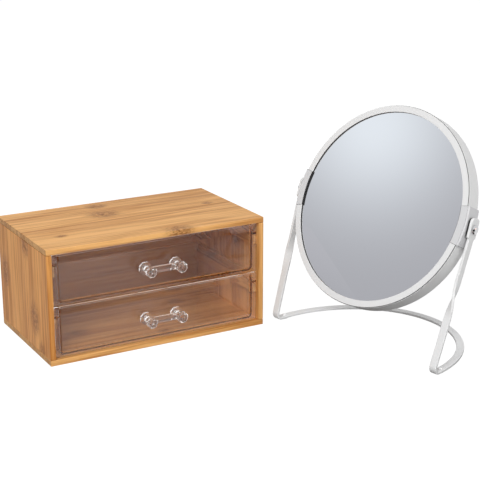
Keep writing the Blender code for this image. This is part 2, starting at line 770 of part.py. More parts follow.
def make_mirror(pivot, white, mirror, black_rubber, filler, chrome, steel):
    """Everything that turns. Local X is the pivot axis, and +Z is where the front glass looks."""
    turned_over = (math.pi, 0, 0)
    smooth = math.radians(30)
    make_object("mirror_frame_band", frame_band_mesh(), white, pivot, smooth_angle=smooth)
    ring = ring_mesh()
    gasket = gasket_mesh()
    for side_name, rotation in (("front", (0, 0, 0)), ("rear", turned_over)):
        make_object(f"{side_name}_ring", ring, white, pivot, rotation=rotation, smooth_angle=smooth)
        make_object(f"{side_name}_gasket", gasket, black_rubber, pivot, rotation=rotation, smooth_angle=smooth)
    make_object("front_mirror_glass", flat_glass_mesh(), mirror, pivot, smooth_angle=smooth)
    make_object("rear_magnifying_glass", magnifying_glass_mesh(), mirror, pivot, rotation=turned_over,
                smooth_angle=smooth)
    make_object("backing_disc", backing_mesh(), filler, pivot, smooth_angle=smooth)
    clip = clip_mesh()
    liner = liner_mesh()
    screw = screw_mesh()
    nut = nut_mesh()
    for side_name, turn in (("left", math.pi), ("right", 0)):
        rotation = (0, 0, turn)
        make_object(f"{side_name}_pivot_clip", clip, white, pivot, rotation=rotation, smooth_angle=smooth)
        make_object(f"{side_name}_clip_liner", liner, black_rubber, pivot, rotation=rotation, smooth_angle=smooth)
        make_object(f"{side_name}_pivot_screw", screw, chrome, pivot, rotation=rotation, smooth_angle=smooth)
        make_object(f"{side_name}_pivot_nut", nut, steel, pivot, rotation=rotation)


def main():
    clear_scene()
    bamboo = make_material("caramel_bamboo", (0.47, 0.27, 0.12), 0.45)
    clear = make_material("clear_plastic", (0.90, 0.90, 0.88), 0.05, clear=1.0)
    white = make_material("white_powder_coat", (0.85, 0.85, 0.85), 0.35)
    mirror = make_material("mirror_glass", (0.90, 0.92, 0.93), 0.02, metallic=1.0)
    chrome = make_material("chrome", (0.75, 0.75, 0.76), 0.12, metallic=1.0)
    zinc = make_material("zinc_steel", (0.60, 0.60, 0.62), 0.35, metallic=1.0)
    black_rubber = make_material("black_rubber", (0.03, 0.03, 0.03), 0.60)
    white_rubber = make_material("white_rubber", (0.80, 0.80, 0.80), 0.50)
    filler = make_material("grey_board", (0.35, 0.35, 0.36), 0.80)
    make_box(bamboo)
    make_runners(bamboo)
    make_drawers(clear)
    place = make_empty("stand_place", (stand_x, stand_y, 0), (0, 0, -stand_yaw))
    pivot = make_empty("mirror_pivot", (0, 0, pivot_height), (math.pi / 2 - mirror_tilt, 0, 0), place)
    make_stand(place, white, white_rubber, black_rubber)
    make_mirror(pivot, white, mirror, black_rubber, filler, chrome, zinc)


main()
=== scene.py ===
# A bamboo box with two clear drawers, and a round white mirror tilting in a bent steel stand.
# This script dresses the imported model: finer meshes, finishes, floor, light and camera. Metres throughout.

import json
import math

import bmesh
import bpy
from mathutils import Matrix, Quaternion, Vector

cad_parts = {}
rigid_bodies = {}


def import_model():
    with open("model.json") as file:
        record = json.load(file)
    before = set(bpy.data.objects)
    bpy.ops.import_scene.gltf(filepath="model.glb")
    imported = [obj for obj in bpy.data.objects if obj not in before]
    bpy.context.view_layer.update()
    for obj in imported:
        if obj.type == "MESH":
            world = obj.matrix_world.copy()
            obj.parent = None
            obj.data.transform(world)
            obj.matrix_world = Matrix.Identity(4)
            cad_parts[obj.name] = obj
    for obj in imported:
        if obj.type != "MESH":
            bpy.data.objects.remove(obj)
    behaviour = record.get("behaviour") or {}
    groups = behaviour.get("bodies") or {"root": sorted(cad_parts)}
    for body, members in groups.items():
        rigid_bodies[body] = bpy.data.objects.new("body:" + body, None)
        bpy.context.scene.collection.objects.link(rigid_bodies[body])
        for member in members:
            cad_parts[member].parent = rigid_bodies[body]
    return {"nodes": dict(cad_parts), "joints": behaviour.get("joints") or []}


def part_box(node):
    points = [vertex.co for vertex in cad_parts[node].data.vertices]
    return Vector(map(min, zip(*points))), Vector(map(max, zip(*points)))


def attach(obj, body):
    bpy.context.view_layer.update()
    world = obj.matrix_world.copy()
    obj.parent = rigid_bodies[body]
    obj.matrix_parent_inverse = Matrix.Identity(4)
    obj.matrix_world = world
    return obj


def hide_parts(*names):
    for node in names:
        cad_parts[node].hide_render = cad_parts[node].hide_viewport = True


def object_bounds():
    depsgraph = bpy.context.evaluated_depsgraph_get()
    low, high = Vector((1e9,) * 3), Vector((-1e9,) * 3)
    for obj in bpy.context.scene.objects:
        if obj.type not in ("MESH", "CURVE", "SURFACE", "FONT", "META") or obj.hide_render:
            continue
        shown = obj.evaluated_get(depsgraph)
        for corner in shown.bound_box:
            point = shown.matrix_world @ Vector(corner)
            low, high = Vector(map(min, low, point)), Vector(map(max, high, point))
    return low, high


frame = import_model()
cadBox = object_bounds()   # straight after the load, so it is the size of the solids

nodes = frame["nodes"]
hairGap = 0.00004       # between two pieces that really touch
easyGap = hairGap * 3   # round a spigot or a stem
sameSpot = 0.0001       # points closer than this to a plane lie in it
pointsMerge = 0.000002
overrun = 0.002         # how far a cutter runs past what it cuts
cutterSides = 32
print("frame loaded:", len(nodes), "nodes")


# Where things stand

def boxCentre(node):
    low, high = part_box(node)
    return (low + high) / 2


def placeFrom(origin, xAxis, zAxis):
    place = Matrix((xAxis, zAxis.cross(xAxis), zAxis)).transposed().to_4x4()
    place.translation = origin
    return place


tilt = next(joint for joint in frame["joints"] if joint["name"] == "mirror_tilt")
pivotPoint = Vector(tilt["pos_m"])
pivotAxis = Vector(tilt["axis"]).normalized()
mirrorNormal = (boxCentre("front_ring") - boxCentre("rear_ring")).normalized()
mirrorPlace = placeFrom(pivotPoint, pivotAxis, mirrorNormal)
standPlace = placeFrom(Vector((pivotPoint.x, pivotPoint.y, 0)), pivotAxis, Vector((0, 0, 1)))
halfTurn = Matrix.Rotation(math.pi, 4, "Z")
upsideDown = Matrix.Rotation(math.pi, 4, "X")


def localPoints(node, place):
    back = place.inverted()
    return [back @ vertex.co for vertex in nodes[node].data.vertices]


def roundSizes(node, place=mirrorPlace):
    # inner and outer radius, lowest and highest height, of a turned node
    points = localPoints(node, place)
    radii = [math.hypot(point.x, point.y) for point in points]
    heights = [point.z for point in points]
    return min(radii), max(radii), min(heights), max(heights)


# Mesh tools

def finishMesh(bm, name, place=None):
    bmesh.ops.recalc_face_normals(bm, faces=bm.faces)
    mesh = bpy.data.meshes.new(name)
    bm.to_mesh(mesh)
    bm.free()
    if place is not None:
        mesh.transform(place)
    mesh.shade_smooth()
    return mesh


def addObject(name, data):
    thing = bpy.data.objects.new(name, data)
    bpy.context.scene.collection.objects.link(thing)
    return thing


def evenShading(piece, sharpAngle):
    # flats stay flat and the rounded edges between them take the light
    piece.data.set_sharp_from_angle(angle=math.radians(sharpAngle))
    weights = piece.modifiers.new("evenShading", "WEIGHTED_NORMAL")
    weights.keep_sharp = True
    weights.mode = "FACE_AREA"


def addPiece(name, mesh, body, slot, material, *replaced, sharpAngle=None):
    # pieces whose edges are eased get their shading after that
    piece = addObject(name, mesh)
    mesh.materials.clear()
    mesh.materials.append(material)
    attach(piece, body)
    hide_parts(*replaced)
    if sharpAngle is not None:
        evenShading(piece, sharpAngle)
    return piece


def skin(rings, closed=False):
    # joins rings of equally many points; a ring of one point is a pole
    bm = bmesh.new()
    rows = [[bm.verts.new(point) for point in ring] for ring in rings]
    pairs = list(zip(rows, rows[1:])) + ([(rows[-1], rows[0])] if closed else [])
    for low, high in pairs:
        count = max(len(low), len(high))
        for i in range(count):
            j = (i + 1) % count
            if len(low) == 1:
                bm.faces.new((low[0], high[j], high[i]))
            elif len(high) == 1:
                bm.faces.new((low[i], low[j], high[0]))
            else:
                bm.faces.new((low[i], low[j], high[j], high[i]))
    if not closed:
        for row in (rows[0], rows[-1]):
            if len(row) > 1:
                bm.faces.new(row)
    return bm


def ringOfPoints(radius, height, count):
    if radius == 0:
        return [Vector((0, 0, height))]
    angles = [2 * math.pi * i / count for i in range(count)]
    return [Vector((radius * math.cos(angle), radius * math.sin(angle), height)) for angle in angles]


def turned(profile, count, closed=False):
    return skin([ringOfPoints(radius, height, count) for radius, height in profile], closed)


def dome(radius, low, high, steps):
    # a quarter of an ellipse, from the rim to the pole
    angles = [math.pi / 2 * i / steps for i in range(steps)]
    return [(radius * math.cos(angle), low + (high - low) * math.sin(angle)) for angle in angles] + [(0, high)]


def rounded(corners, radii, steps=4):
    # an outline with each corner rounded by its own radius
    outline = []
    count = len(corners)
    for i, corner in enumerate(corners):
        point = Vector(corner)
        radius = radii[i] if isinstance(radii, (list, tuple)) else radii
        if radius == 0:
            outline.append(tuple(point))
            continue
        before = (Vector(corners[i - 1]) - point).normalized()
        after = (Vector(corners[(i + 1) % count]) - point).normalized()
        half = before.angle(after) / 2
        centre = point + (before + after).normalized() * (radius / math.sin(half))
        first = point + before * (radius / math.tan(half)) - centre
        last = point + after * (radius / math.tan(half)) - centre
        sweep = first.angle_signed(last)
        for k in range(steps + 1):
            spin = Matrix.Rotation(-sweep * k / steps, 2)
            outline.append(tuple(centre + spin @ first))
    return outline


def cylinder(radius, start, end):
    way = Vector(end) - Vector(start)
    bm = skin([ringOfPoints(radius, height, cutterSides) for height in (0, way.length)])
    bm.transform(Matrix.Translation(start) @ way.to_track_quat("Z", "Y").to_matrix().to_4x4())
    return finishMesh(bm, "cutter")


def cutAway(mesh, cutters):
    base = addObject("base", mesh)
    helpers = [base]
    for cutter in cutters:
        helper = addObject("cutter", cutter)
        helpers.append(helper)
        cut = base.modifiers.new("cut", "BOOLEAN")
        cut.operation = "DIFFERENCE"
        cut.solver = "EXACT"
        cut.object = helper
    graph = bpy.context.evaluated_depsgraph_get()
    result = bpy.data.meshes.new_from_object(base.evaluated_get(graph), depsgraph=graph)
    for helper in helpers:
        bpy.data.objects.remove(helper, do_unlink=True)
    result.name = mesh.name
    return result


def copiedMesh(node, wholeFaces=True):
    # a CAD node's own shape, where asked with its flat faces whole again, ready for small bevels
    bm = bmesh.new()
    bm.from_mesh(nodes[node].data)
    bmesh.ops.remove_doubles(bm, verts=bm.verts, dist=pointsMerge)
    if wholeFaces:
        flatAngle = math.radians(0.6)
        bmesh.ops.dissolve_limit(bm, angle_limit=flatAngle, verts=bm.verts, edges=bm.edges)
    return finishMesh(bm, node + "_fine")


def easedEdges(piece, width, steps, angle=28, limit="ANGLE"):
    # rounds the edges sharper than the angle, or else those that carry a weight
    bevel = piece.modifiers.new("easedEdges", "BEVEL")
    bevel.width = width
    bevel.segments = steps
    bevel.limit_method = limit
    bevel.angle_limit = math.radians(angle)


# Node tools

def feed(tree, socket, value):
    if isinstance(value, bpy.types.NodeSocket):
        tree.links.new(value, socket)
    else:
        socket.default_value = value


def put(tree, kind, inputs=None, **settings):
    node = tree.nodes.new(kind)
    for key, value in settings.items():
        setattr(node, key, value)
    for key, value in (inputs or {}).items():
        feed(tree, node.inputs[key], value)
    return node


def calc(tree, operation, *values):
    node = put(tree, "ShaderNodeMath", operation=operation)
    for i, value in enumerate(values):
        feed(tree, node.inputs[i], value)
    return node.outputs[0]


def times(tree, first, second):
    return calc(tree, "MULTIPLY", first, second)


def plus(tree, first, second):
    return calc(tree, "ADD", first, second)


def minus(tree, first, second):
    return calc(tree, "SUBTRACT", first, second)


def fade(tree, value, start, end, low=0.0, high=1.0):
    node = put(tree, "ShaderNodeMapRange", interpolation_type="SMOOTHSTEP",
               inputs={"Value": value, "From Min": start, "From Max": end, "To Min": low, "To Max": high})
    return node.outputs["Result"]


def mixColours(tree, factor, first, second, blend="MIX"):
    node = put(tree, "ShaderNodeMix", data_type="RGBA", blend_type=blend)
    feed(tree, node.inputs[0], factor)
    feed(tree, node.inputs[6], first)
    feed(tree, node.inputs[7], second)
    return node.outputs[2]


def objectSpace(tree):
    return put(tree, "ShaderNodeTexCoord").outputs["Object"]


def noise(tree, vector, scale, detail, roughness):
    node = put(tree, "ShaderNodeTexNoise",
               inputs={"Vector": vector, "Scale": scale, "Detail": detail, "Roughness": roughness})
    return node.outputs["Fac"]


def apart(tree, vector):
    return put(tree, "ShaderNodeSeparateXYZ", inputs={0: vector}).outputs


def stretched(tree, parts, scales):
    # the same coordinates, each axis at its own scale
    node = put(tree, "ShaderNodeCombineXYZ")
    for i in range(3):
        feed(tree, node.inputs[i], times(tree, parts[i], scales[i]))
    return node.outputs[0]


def squareAway(tree, values, middles, sizes):
    # squared distance from a spot, each axis by its own measure
    total = 0.0
    for value, middle, size in zip(values, middles, sizes):
        off = calc(tree, "DIVIDE", minus(tree, value, middle), size)
        total = plus(tree, total, times(tree, off, off))
    return total


def mixShaders(tree, share, first, second):
    mix = put(tree, "ShaderNodeMixShader", inputs={0: share, 1: first.outputs[0], 2: second.outputs[0]})
    return mix.outputs[0]


def emptyTree(owner):
    owner.use_nodes = True
    owner.node_tree.nodes.clear()
    return owner.node_tree


def newMaterial(name, **sockets):
    material = bpy.data.materials.new(name)
    material.use_nodes = True
    shader = material.node_tree.nodes["Principled BSDF"]
    for key, value in sockets.items():
        shader.inputs[key.replace("_", " ")].default_value = value
    return material, material.node_tree, shader


def opaque(colour):
    return (*colour, 1.0)


def addBump(tree, shader, height, depth, strength):
    bump = put(tree, "ShaderNodeBump", inputs={"Height": height, "Distance": depth, "Strength": strength})
    feed(tree, shader.inputs["Normal"], bump.outputs["Normal"])


def roughen(tree, shader, pattern, *edges):
    feed(tree, shader.inputs["Roughness"], fade(tree, pattern, *edges))


# Bamboo

bamboo = {
    "light": (0.92, 0.505, 0.183),
    "dark": (0.53, 0.222, 0.058),
    "knot": (0.27, 0.098, 0.026),
    "streakContrast": 0.98,
    "stripContrast": 0.736,     # tone difference between neighbouring strips
    "toneSpan": 0.75,           # this much either way leads to the light or the dark tone
    "stripShift": 3.7,          # each strip has its own fibres
    # each pattern: its scales along the grain, across it and into the board, its detail and its roughness
    "fibres": ((26, 1400, 1400), 2.0, 0.6),
    "streaks": ((11, 430, 430), 4.0, 0.62),
    "bands": ((6, 165, 165), 3.0, 0.7),
    "clouds": ((9, 60, 60), 2.0, 0.5),
    "flecks": ((330, 900, 900), 3.0, 0.65),
    "pores": ((40, 1500, 1500), 3.0, 0.7),
    "shares": {"streaks": 2.6, "fibres": 1.2, "bands": 2.7, "clouds": 0.8},
    "knotSizes": (0.0115, 0.0085),        # half of its length and breadth
    "knotRagged": 1.2,
    "knotFade": (1.15, 0.25),
    "fleckFade": (0.42, 0.58, 0.30, 0.95),
    "endFacing": (0.55, 0.9),
    "endFade": (0.35, 0.7, 0.82, 0.60),   # the end grain is darker, most in its pores
    "roughFade": (0.2, 0.8, 0.40, 0.56),
    "sheen": 0.16,              # share of the usual gloss
    "reliefShares": (0.6, 0.5, 0.4),      # of the fibres, the streaks and the knots
    "relief": (0.00006, 0.8),   # depth and strength
}


def stripTones(tree, share, strips):
    # one tone for each glued strip, from 0, pale, to 1, dark
    ramp = put(tree, "ShaderNodeValToRGB", inputs={0: share})
    ramp.color_ramp.interpolation = "CONSTANT"
    stops = ramp.color_ramp.elements
    while len(stops) < len(strips):
        stops.new(0.5)
    for stop, (start, toneValue) in zip(stops, strips):
        stop.position = start
        stop.color = (toneValue, toneValue, toneValue, 1)
    return ramp.outputs["Color"]


def grainPattern(tree, parts, pattern):
    scales, detail, roughness = bamboo[pattern]
    return noise(tree, stretched(tree, parts, scales), 1.0, detail, roughness)


def knotsOf(tree, along, across, ragged, knots):
    # 1 in the middle of each growth knot, fading out with a ragged edge
    knotShare = 0.0
    for *spot, size in knots:
        sizes = [length * size for length in bamboo["knotSizes"]]
        away = calc(tree, "SQRT", squareAway(tree, (along, across), spot, sizes))
        away = plus(tree, away, ragged)
        knotShare = calc(tree, "MAXIMUM", knotShare, fade(tree, away, *bamboo["knotFade"]))
    return knotShare


def bambooFinish(name, node, grain, lane, strips, knots, tone=(1.0, 1.0, 1.0)):
    # laminated strips run along one axis of the box and lie side by side along another
    material, tree, shader = newMaterial(name)
    low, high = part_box(node)
    thick = 3 - grain - lane
    where = put(tree, "ShaderNodeTexCoord")
    axes = apart(tree, where.outputs["Object"])
    along, across, deep = axes[grain], axes[lane], axes[thick]
    share = calc(tree, "DIVIDE", minus(tree, across, low[lane]), high[lane] - low[lane])
    toneOfStrip = stripTones(tree, share, strips)
    parts = (plus(tree, along, times(tree, toneOfStrip, bamboo["stripShift"])), across, deep)
    patterns = {pattern: grainPattern(tree, parts, pattern) for pattern in bamboo["shares"]}
    around = {pattern: minus(tree, value, 0.5) for pattern, value in patterns.items()}
    fine = 0.0
    for pattern, weight in bamboo["shares"].items():
        fine = plus(tree, fine, times(tree, around[pattern], weight))
    ofStrip = times(tree, minus(tree, toneOfStrip, 0.5), bamboo["stripContrast"])
    depth = plus(tree, times(tree, fine, bamboo["streakContrast"]), ofStrip)
    darkShare = fade(tree, depth, -bamboo["toneSpan"], bamboo["toneSpan"])
    colour = mixColours(tree, darkShare, opaque(bamboo["light"]), opaque(bamboo["dark"]))

    # growth knots: short dark flecks in a stained patch
    ragged = times(tree, around["streaks"], bamboo["knotRagged"])
    flecks = fade(tree, grainPattern(tree, parts, "flecks"), *bamboo["fleckFade"])
    flecked = times(tree, knotsOf(tree, along, across, ragged, knots), flecks)
    colour = mixColours(tree, flecked, colour, opaque(bamboo["knot"]))

    # end grain is darker, with pores
    facing = apart(tree, where.outputs["Normal"])
    atEnd = fade(tree, calc(tree, "ABSOLUTE", facing[grain]), *bamboo["endFacing"])
    shade = fade(tree, grainPattern(tree, parts, "pores"), *bamboo["endFade"])
    endTint = put(tree, "ShaderNodeCombineColor", inputs={0: shade, 1: shade, 2: shade}).outputs[0]
    colour = mixColours(tree, atEnd, colour, mixColours(tree, 1.0, colour, endTint, "MULTIPLY"))
    # the board's tint; on the left side and the back panel it is painted shade
    colour = mixColours(tree, 1.0, colour, opaque(tone), "MULTIPLY")
    feed(tree, shader.inputs["Base Color"], colour)

    roughen(tree, shader, patterns["streaks"], *bamboo["roughFade"])
    shader.inputs["Specular IOR Level"].default_value = bamboo["sheen"]
    fibreShare, streakShare, knotShare = bamboo["reliefShares"]
    relief = times(tree, patterns["fibres"], fibreShare)
    relief = plus(tree, relief, times(tree, patterns["streaks"], streakShare))
    relief = minus(tree, relief, times(tree, flecked, knotShare))
    addBump(tree, shader, relief, *bamboo["relief"])
    return material


boards = {
    "outerRound": 0.0009,   # edges of the whole box
    "innerRound": 0.0003,   # edges at the joints and round the opening
    "roundSteps": 3,
}
boxLow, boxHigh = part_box("bottom_board")[0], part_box("top_board")[1]


def onBoxEdge(first, second):
    faces = 0
    for axis in range(3):
        for limit in (boxLow[axis], boxHigh[axis]):
            faces += abs(first[axis] - limit) < sameSpot and abs(second[axis] - limit) < sameSpot
    return faces >= 2


def makeBoard(node, finishName, *look):
    material = bambooFinish(finishName, node, *look)
    low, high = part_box(node)
    bm = bmesh.new()
    middle = Matrix.Translation((low + high) / 2)
    bmesh.ops.create_cube(bm, size=1.0, matrix=middle @ Matrix.Diagonal((*(high - low), 1)))
    outer = [edge for edge in bm.edges if onBoxEdge(edge.verts[0].co, edge.verts[1].co)]
    widest = boards["outerRound"] if outer else boards["innerRound"]
    weights = bm.edges.layers.float.new("bevel_weight_edge")
    for edge in bm.edges:
        edge[weights] = 1.0 if edge in outer else boards["innerRound"] / widest
    piece = addPiece(node + "_shell", finishMesh(bm, node), "root", "bamboo", material, node)
    easedEdges(piece, widest, boards["roundSteps"], limit="WEIGHT")
    evenShading(piece, sharpAngle=80)


# the axes of the grain and of the strips; each strip's start, as a share of the breadth, and its tone
# each knot's place along and across the grain and its size; the board's tint, which on the left side and the
# back panel is painted shade
makeBoard(
    "top_board", "bambooTop", 0, 1,
    [(0, 0.30), (0.16, 0.05), (0.33, 0.55), (0.52, 0.35), (0.70, 0.70), (0.86, 0.45)],
    [(-0.018, 0.020, 1.7), (-0.014, 0.048, 1.1), (0.021, -0.057, 1.5), (0.084, 0.008, 0.6),
     (-0.079, -0.028, 0.6)])
makeBoard(
    "bottom_board", "bambooBottom", 0, 1,
    [(0, 0.40), (0.20, 0.70), (0.39, 0.25), (0.61, 0.55), (0.80, 0.15)],
    [(0.055, 0.022, 1.0), (-0.062, -0.012, 1.1), (0.012, -0.045, 0.8)], (0.97, 0.96, 0.94))
# the left side's tint darkens it: painted shade on this side
makeBoard(
    "left_side_board", "bambooLeftSide", 2, 1,
    [(0, 0.80), (0.14, 0.40), (0.305, 0.85), (0.565, 0.05), (0.793, 0.90)],
    [(0.056, 0.046, 1.5), (0.034, -0.027, 1.6), (0.098, -0.010, 1.3), (0.006, -0.042, 1.1)],
    (0.94, 0.83, 0.67))
makeBoard(
    "right_side_board", "bambooRightSide", 2, 1,
    [(0, 0.35), (0.22, 0.75), (0.41, 0.20), (0.63, 0.60), (0.82, 0.30)],
    [(0.040, 0.030, 1.1), (0.075, -0.020, 1.0)], (0.95, 0.93, 0.90))
# the back panel's dark tint is painted shade inside the box
makeBoard(
    "back_panel", "bambooBack", 0, 2,
    [(0, 0.40), (0.24, 0.65), (0.47, 0.20), (0.72, 0.50)],
    [(-0.048, 0.064, 1.1), (0.037, 0.031, 1.0)], (0.62, 0.53, 0.45))
for row in ("upper", "lower"):
    for side in ("left", "right"):
        runner = f"{row}_{side}_runner"
        makeBoard(runner, "bamboo_" + runner, 1, 2, [(0, 0.35), (0.5, 0.45)], [])
print("bamboo box done")


# Clear drawers

clear = {
    "colour": (0.952, 0.938, 0.924),
    "trayBends": 1.50,       # index of refraction
    "handleBends": 1.42,
    "marks": (240, 4.0, 0.65),          # scale, detail and roughness of the noise
    "markFade": (0.5, 0.8, 0.0, 0.012),
    "waves": (30, 1.0, 0.4),            # likewise
    "waveStrength": 0.5,
    "trayWaves": 0.00003,    # how deep they are
    "handleWaves": 0.000005,
    "deepest": 5.5,          # light that has met more surfaces than this goes straight on
    "straightOn": (0.97, 0.962, 0.955),
    "trayEdge": 0.00025,
    "frontEdge": 0.0006,     # outer edge of the bevelled front
    "handleEdge": 0.00012,
    "edgeSteps": 2,
    "traySharp": 28,         # degrees from which an edge is eased
    "handleSharp": 15,
}


def clearFinish(name, waveDepth, bendsLight):
    # moulded polystyrene: polished, with faint flow waves and handling marks
    material, tree, shader = newMaterial(name, Transmission_Weight=1.0, IOR=bendsLight)
    where = objectSpace(tree)
    shader.inputs["Base Color"].default_value = opaque(clear["colour"])
    marks = noise(tree, where, *clear["marks"])
    roughen(tree, shader, marks, *clear["markFade"])
    waves = noise(tree, where, *clear["waves"])
    addBump(tree, shader, waves, waveDepth, clear["waveStrength"])
    straightOn = put(tree, "ShaderNodeBsdfTransparent", inputs={0: opaque(clear["straightOn"])})
    rays = put(tree, "ShaderNodeLightPath").outputs
    share = calc(tree, "MAXIMUM", rays["Is Shadow Ray"], rays["Is Diffuse Ray"])
    lost = calc(tree, "GREATER_THAN", rays["Ray Depth"], clear["deepest"])
    share = calc(tree, "MAXIMUM", share, lost)   # light trapped between two walls comes out here
    feed(tree, tree.nodes["Material Output"].inputs["Surface"], mixShaders(tree, share, shader, straightOn))
    return material


def weighFrontEdges(mesh):
    # the rim of the front's bevel is rounded more than the tray's other edges
    bm = bmesh.new()
    bm.from_mesh(mesh)
    faceY = min(vertex.co.y for vertex in bm.verts)
    widest = max(abs(vertex.co.x) for vertex in bm.verts)
    rimY = min(vertex.co.y for vertex in bm.verts if abs(vertex.co.x) > widest - sameSpot)
    sharpFrom = math.radians(clear["traySharp"])
    weights = bm.edges.layers.float.new("bevel_weight_edge")
    for edge in bm.edges:
        onRim = all(abs(vertex.co.y - rimY) < sameSpot for vertex in edge.verts)
        onFace = all(abs(vertex.co.y - faceY) < sameSpot for vertex in edge.verts)
        sharp = len(edge.link_faces) == 2 and edge.calc_face_angle() > sharpFrom
        if onRim:
            edge[weights] = 1.0
        elif onFace or sharp:
            edge[weights] = clear["trayEdge"] / clear["frontEdge"]
    bm.to_mesh(mesh)
    bm.free()
    return mesh


trayPlastic = clearFinish("clearTrayPlastic", clear["trayWaves"], clear["trayBends"])
handlePlastic = clearFinish("clearHandlePlastic", clear["handleWaves"], clear["handleBends"])
for row in ("upper", "lower"):
    drawer, trayNode, handleNode = f"{row}_drawer", f"{row}_drawer_tray", f"{row}_drawer_handle"
    trayMesh = weighFrontEdges(copiedMesh(trayNode, wholeFaces=False))
    tray = addPiece(f"{row}_tray_clear", trayMesh, drawer, "clear_plastic", trayPlastic, trayNode)
    easedEdges(tray, clear["frontEdge"], clear["edgeSteps"], limit="WEIGHT")
    evenShading(tray, sharpAngle=25)
    handleMesh = copiedMesh(handleNode)
    handle = addPiece(f"{row}_handle_clear", handleMesh, drawer, "clear_plastic", handlePlastic, handleNode)
    easedEdges(handle, clear["handleEdge"], clear["edgeSteps"], clear["handleSharp"])
    evenShading(handle, sharpAngle=20)
print("drawers done")


# Finishes of the mirror and its stand

# each grain, drift, line and haze: scale, detail and roughness of its noise; each relief: depth and strength
finishes = {
    "coatGrain": (2600, 2.0, 0.6),
    "coatDrift": (38, 2.0, 0.5),
    "coatDuller": 0.975,
    "coatRough": (0.29, 0.41),
    "coatRelief": (0.000006, 0.3),
    "metalScales": (2200, 2200, 180),
    "metalLines": (1.0, 3.0, 0.6),
    "metalDuller": 0.9,
    "rubberGrain": (1500, 3.0, 0.6),
    "rubberPaler": 1.25,
    "rubberSpread": 0.15,
    "rubberRelief": (0.00003, 0.5),
    "grainFade": (0.3, 0.7),
    "silver": (0.915, 0.925, 0.935),
    "silverHaze": (60, 3.0, 0.6),
    "silverFade": (0.4, 0.8, 0.004, 0.02),
}


def twoTones(tree, shader, share, colour, change):
    # the colour, and the same colour made duller or paler
    changed = [value * change for value in colour]
    feed(tree, shader.inputs["Base Color"], mixColours(tree, share, opaque(colour), opaque(changed)))


def powderCoat(name, colour):
    material, tree, shader = newMaterial(name)
    where = objectSpace(tree)
    grain = noise(tree, where, *finishes["coatGrain"])
    twoTones(tree, shader, noise(tree, where, *finishes["coatDrift"]), colour, finishes["coatDuller"])
    roughen(tree, shader, grain, *finishes["grainFade"], *finishes["coatRough"])
    addBump(tree, shader, grain, *finishes["coatRelief"])
    return material


def metalFinish(name, colour, roughness, brushed):
    material, tree, shader = newMaterial(name, Metallic=1.0)
    parts = apart(tree, objectSpace(tree))
    lines = noise(tree, stretched(tree, parts, finishes["metalScales"]), *finishes["metalLines"])
    twoTones(tree, shader, lines, colour, finishes["metalDuller"])
    roughen(tree, shader, lines, *finishes["grainFade"], roughness, roughness + brushed)
    return material


def rubberFinish(name, colour, roughness):
    material, tree, shader = newMaterial(name)
    grain = noise(tree, objectSpace(tree), *finishes["rubberGrain"])
    twoTones(tree, shader, grain, colour, finishes["rubberPaler"])
    roughen(tree, shader, grain, *finishes["grainFade"], roughness, roughness + finishes["rubberSpread"])
    addBump(tree, shader, grain, *finishes["rubberRelief"])
    return material


def silvering(name):
    material, tree, shader = newMaterial(name, Metallic=1.0)
    haze = noise(tree, objectSpace(tree), *finishes["silverHaze"])
    shader.inputs["Base Color"].default_value = opaque(finishes["silver"])
    roughen(tree, shader, haze, *finishes["silverFade"])
    return material


whiteCoat = powderCoat("whitePowderCoat", (0.84, 0.84, 0.84))
ringCoatPaintedShade = powderCoat("ringPowderCoat", (0.81, 0.81, 0.81))   # the same white paint, made a little greyer on the rings: painted shade
clipCoatPaintedShade = powderCoat("clipPowderCoat", (0.68, 0.68, 0.69))   # and greyer still on the clips: more painted shade
mirrorSilver = silvering("mirrorSilver")
chrome = metalFinish("screwChrome", (0.62, 0.62, 0.63), 0.04, 0.03)
zincSteel = metalFinish("nutZinc", (0.60, 0.60, 0.62), 0.28, 0.15)
# real black rubber for the gaskets, liners and spacers, and also painted shade inside the groove
blackRubber = rubberFinish("blackRubber", (0.020, 0.020, 0.021), 0.45)
whiteRubber = rubberFinish("whiteRubber", (0.86, 0.86, 0.86), 0.45)
greyBoard = rubberFinish("backingBoard", (0.35, 0.35, 0.36), 0.75)


# The round mirror

mirror = {
    "segments": 192,
    "bandEdge": 0.0004,
    "paintedShadeEnd": 0.00005,       # the band's faces this near to its ends are made black: painted shade on the groove's side
    "grooveDeep": 0.00004,    # how far the groove's floor, made black as painted shade, stands back from the ring's rim
    "ringThick": 0.0006,
    "rimThick": 0.00028,      # the ring's white rim; the groove below it is made black as painted shade
    "rimEdge": 0.00005,
    "ringEdge": 0.0002,
    "hiddenEdge": 0.0001,
    "spigotThick": 0.0013,
    "glassLift": 0.0003,      # the glass lies up against the gasket
    "glassEdge": 0.0003,
    "dishSteps": 24,
    "gasketRound": 0.0001,
    "pivotHole": 0.0022,
}

bandInner, bandOuter, bandLow, bandHigh = roundSizes("mirror_frame_band")
ringInner, ringOuter, spigotLow, ringTop = roundSizes("front_ring")
ringSeat = ringTop - mirror["ringThick"]   # the gasket's side of the ring
glassRadius = roundSizes("front_gasket")[1]
gasketInner = ringInner + hairGap
glassLow, glassHigh = [height + mirror["glassLift"] for height in roundSizes("front_mirror_glass")[2:]]
gasketLow, gasketHigh = glassHigh + hairGap, ringSeat - hairGap


def turnedRing(corners, radii, name, place, steps=4):
    return finishMesh(turned(rounded(corners, radii, steps), mirror["segments"], closed=True), name, place)


def paintShadeInGroove(piece, place, within):
    # painted shade: the faces inside the groove between the band and a ring get the black material, where
    # shade falls
    piece.data.materials.append(blackRubber)
    back = place.inverted()
    for face in piece.data.polygons:
        if within(back @ face.center):
            face.material_index = 1


